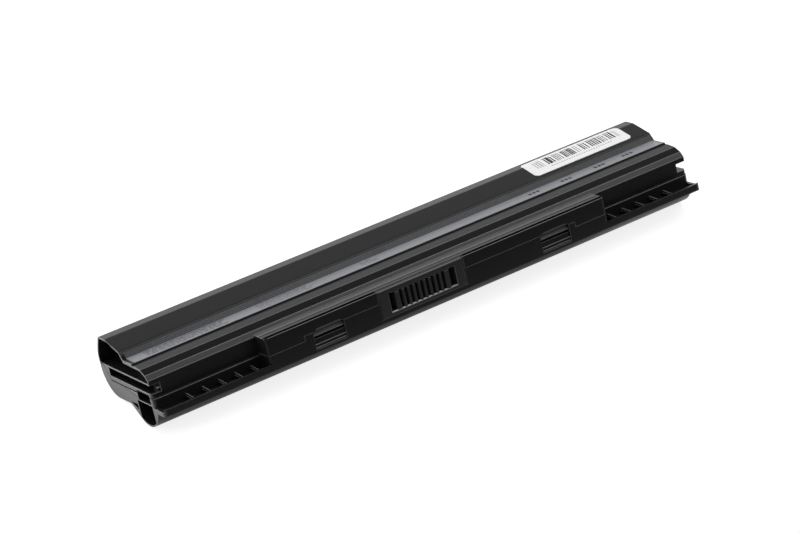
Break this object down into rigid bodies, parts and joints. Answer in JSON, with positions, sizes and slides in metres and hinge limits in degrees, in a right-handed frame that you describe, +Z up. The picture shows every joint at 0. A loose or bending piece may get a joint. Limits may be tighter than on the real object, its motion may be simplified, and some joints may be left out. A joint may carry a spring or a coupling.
{
  "type": "laptop battery",
  "caption": "Laptop battery pack with round cells in a two-lobed moulded case, a comb connector, latch recesses and a ribbed trough at each end.",
  "frame": {"origin": "centre of the pack's box, on the table that its two round lobes touch", "axes": "+X along the pack to its right end seen from the connector side, -Y towards the connector side, +Z up"},
  "size_m": [0.262, 0.054, 0.0263],
  "materials": {
    "case_plastic": "satin",
    "connector_plastic": "satin",
    "contact_alloy": "satin",
    "label_film": "satin",
    "sticker_paper": "matte",
    "cell_can": "gloss",
    "fibre_paper": "matte",
    "nickel": "satin",
    "board_laminate": "satin",
    "chip_resin": "matte",
    "ceramic": "matte",
    "foam": "matte"
  },
  "bodies": {
    "root": {"bar_sticker": "sticker_paper", "board_capacitors": "ceramic", "board_fuse": "chip_resin", "cell_back_left": "cell_can", "cell_back_middle": "cell_can", "cell_back_right": "cell_can", "cell_front_left": "cell_can", "cell_front_middle": "cell_can", "cell_front_right": "cell_can", "charge_gauge_chip": "chip_resin", "circuit_board": "board_laminate", "connector_contacts": "contact_alloy", "connector_housing": "connector_plastic", "foam_pads": "foam", "insulating_sheet": "fibre_paper", "lead_high_middle": "nickel", "lead_low_middle": "nickel", "lead_negative": "nickel", "lead_positive": "nickel", "lower_case": "case_plastic", "power_switches": "chip_resin", "protection_chip": "chip_resin", "rating_label": "label_film", "ring_back_left": "fibre_paper", "ring_back_middle": "fibre_paper", "ring_back_right": "fibre_paper", "ring_front_left": "fibre_paper", "ring_front_middle": "fibre_paper", "ring_front_right": "fibre_paper", "sense_resistor": "ceramic", "strip_high_middle": "nickel", "strip_low_middle": "nickel", "strip_negative": "nickel", "strip_positive": "nickel", "thermistor": "ceramic", "upper_cover": "case_plastic"}
  },
  "joints": []
}
